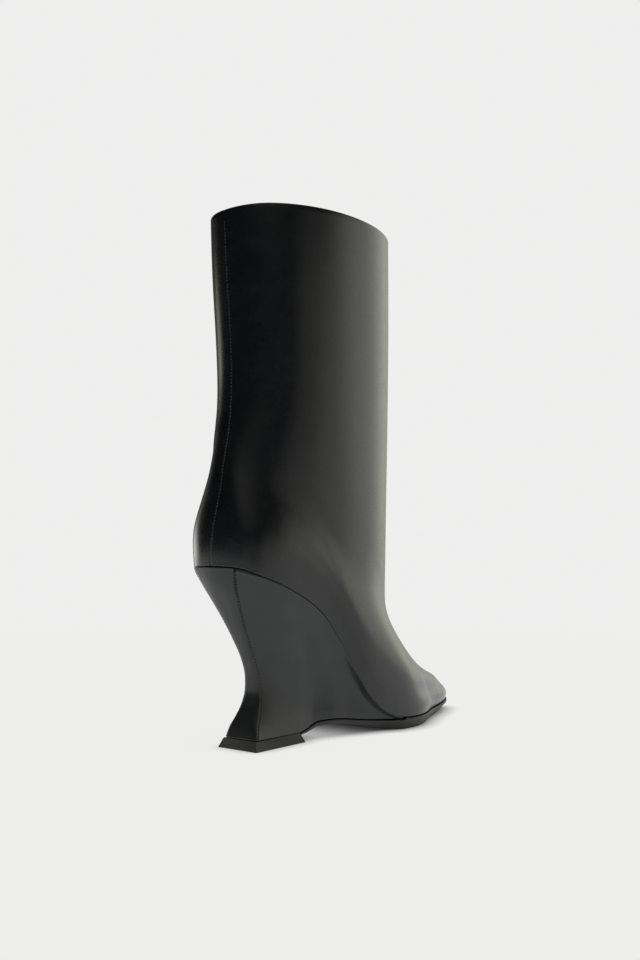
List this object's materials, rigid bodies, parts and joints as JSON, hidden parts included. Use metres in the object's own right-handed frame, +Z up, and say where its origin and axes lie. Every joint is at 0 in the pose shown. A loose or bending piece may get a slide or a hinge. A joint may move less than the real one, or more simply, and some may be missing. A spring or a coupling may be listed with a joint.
{
  "type": "wedge ankle boot",
  "caption": "Smooth leather ankle boot with a straight shaft, a pointed toe and a sculpted leather-covered wedge heel on a small flared top piece; right foot.",
  "frame": {"origin": "middle of the heel top piece's underside, on the floor", "axes": "+Z up, -Y towards the toe, -X towards the outer side of the right foot"},
  "size_m": [0.076, 0.2187, 0.285],
  "materials": {
    "upper_leather": "smooth satin",
    "lining_leather": "matte",
    "wedge_leather": "smooth satin",
    "heel_rubber": "matte",
    "sole_rubber": "satin"
  },
  "bodies": {
    "root": {"upper": "upper_leather", "insole": "lining_leather", "wedge_heel": "wedge_leather", "heel_back_panel": "wedge_leather", "top_piece": "heel_rubber", "outsole": "sole_rubber"}
  },
  "joints": []
}
